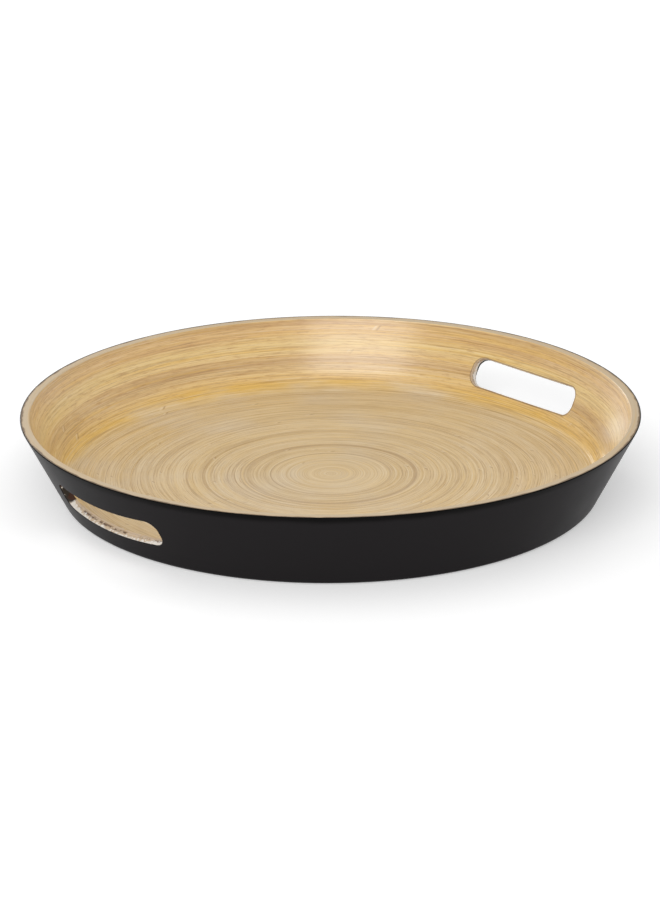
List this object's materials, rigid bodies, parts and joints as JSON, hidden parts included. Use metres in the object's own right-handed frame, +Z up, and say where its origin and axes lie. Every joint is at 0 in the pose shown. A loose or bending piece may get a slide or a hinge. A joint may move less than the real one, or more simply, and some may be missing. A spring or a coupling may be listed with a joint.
{
  "type": "serving tray",
  "caption": "Round serving tray of spun bamboo strips with a flared wall, hand slots through the wall and black lacquer outside.",
  "frame": {"origin": "centre of the underside, on the surface that the tray stands on", "axes": "+Z up out of the tray, X through the two hand slots"},
  "size_m": [0.38, 0.38, 0.05],
  "materials": {
    "bamboo": "clear lacquer, satin, over fine wound strips",
    "black_lacquer": "satin black lacquer"
  },
  "bodies": {
    "root": {"floor_strip_01": "bamboo", "floor_strip_02": "bamboo", "floor_strip_03": "bamboo", "floor_strip_04": "bamboo", "floor_strip_05": "bamboo", "floor_strip_06": "bamboo", "floor_strip_07": "bamboo", "floor_strip_08": "bamboo", "floor_strip_09": "bamboo", "floor_strip_10": "bamboo", "floor_strip_11": "bamboo", "floor_strip_12": "bamboo", "floor_strip_13": "bamboo", "floor_strip_14": "bamboo", "floor_strip_15": "bamboo", "floor_strip_16": "bamboo", "floor_strip_17": "bamboo", "floor_strip_18": "bamboo", "floor_strip_19": "bamboo", "floor_strip_20": "bamboo", "wall_strip_1": "bamboo", "wall_strip_2": "bamboo", "wall_strip_3": "bamboo", "wall_strip_4": "bamboo", "wall_strip_5": "bamboo", "wall_strip_6": "bamboo", "base_lacquer": "black_lacquer", "side_lacquer": "black_lacquer"}
  },
  "joints": []
}
